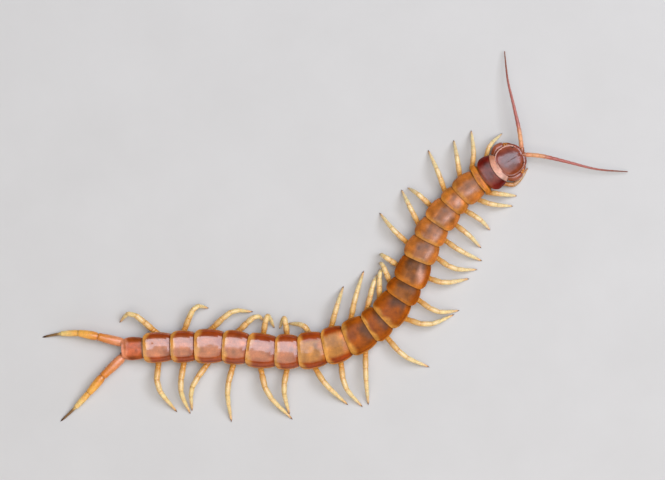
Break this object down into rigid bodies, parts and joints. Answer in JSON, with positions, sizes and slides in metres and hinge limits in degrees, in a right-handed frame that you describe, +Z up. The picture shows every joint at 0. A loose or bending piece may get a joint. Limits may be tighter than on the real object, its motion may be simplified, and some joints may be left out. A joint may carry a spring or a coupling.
{
  "type": "giant centipede model",
  "caption": "Still life-size model of a giant centipede at rest, body in a gentle bend, legs spread on the floor, feelers and last legs stretched out.",
  "frame": {"origin": "under the middle of the animal's box, at the level its feet rest on", "axes": "+X runs from the tail towards the head end, +Y to the side its left feeler points, +Z up; the head points along +X turned about 30 degrees towards +Y"},
  "size_m": [0.2062, 0.1306, 0.008],
  "materials": {
    "head_shell": "smooth glossy dark red-brown shell",
    "trunk_shell": "smooth glossy orange-brown plates with amber rims",
    "leg_shell": "satin amber shell, paler towards the claws",
    "tail_leg_shell": "satin orange shell with grey-brown ends",
    "antenna_shell": "finely haired red-brown rings",
    "forcipule_shell": "smooth glossy red-brown shell with dark tips",
    "eye_lens": "polished near-black lenses"
  },
  "bodies": {
    "root": {"antenna_left": "antenna_shell", "antenna_right": "antenna_shell", "eye_left": "eye_lens", "eye_right": "eye_lens", "forcipule_left": "forcipule_shell", "forcipule_right": "forcipule_shell", "head": "head_shell", "leg_left_01": "leg_shell", "leg_left_02": "leg_shell", "leg_left_03": "leg_shell", "leg_left_04": "leg_shell", "leg_left_05": "leg_shell", "leg_left_06": "leg_shell", "leg_left_07": "leg_shell", "leg_left_08": "leg_shell", "leg_left_09": "leg_shell", "leg_left_10": "leg_shell", "leg_left_11": "leg_shell", "leg_left_12": "leg_shell", "leg_left_13": "leg_shell", "leg_left_14": "leg_shell", "leg_left_15": "leg_shell", "leg_left_16": "leg_shell", "leg_left_17": "leg_shell", "leg_left_18": "leg_shell", "leg_left_19": "leg_shell", "leg_left_20": "leg_shell", "leg_left_21": "tail_leg_shell", "leg_right_01": "leg_shell", "leg_right_02": "leg_shell", "leg_right_03": "leg_shell", "leg_right_04": "leg_shell", "leg_right_05": "leg_shell", "leg_right_06": "leg_shell", "leg_right_07": "leg_shell", "leg_right_08": "leg_shell", "leg_right_09": "leg_shell", "leg_right_10": "leg_shell", "leg_right_11": "leg_shell", "leg_right_12": "leg_shell", "leg_right_13": "leg_shell", "leg_right_14": "leg_shell", "leg_right_15": "leg_shell", "leg_right_16": "leg_shell", "leg_right_17": "leg_shell", "leg_right_18": "leg_shell", "leg_right_19": "leg_shell", "leg_right_20": "leg_shell", "leg_right_21": "tail_leg_shell", "trunk_01": "trunk_shell", "trunk_02_03": "trunk_shell", "trunk_04_05": "trunk_shell", "trunk_06_07": "trunk_shell", "trunk_08_09": "trunk_shell", "trunk_10_11": "trunk_shell", "trunk_12_13": "trunk_shell", "trunk_14_15": "trunk_shell", "trunk_16_17": "trunk_shell", "trunk_18_19": "trunk_shell", "trunk_20_21": "trunk_shell"}
  },
  "joints": []
}
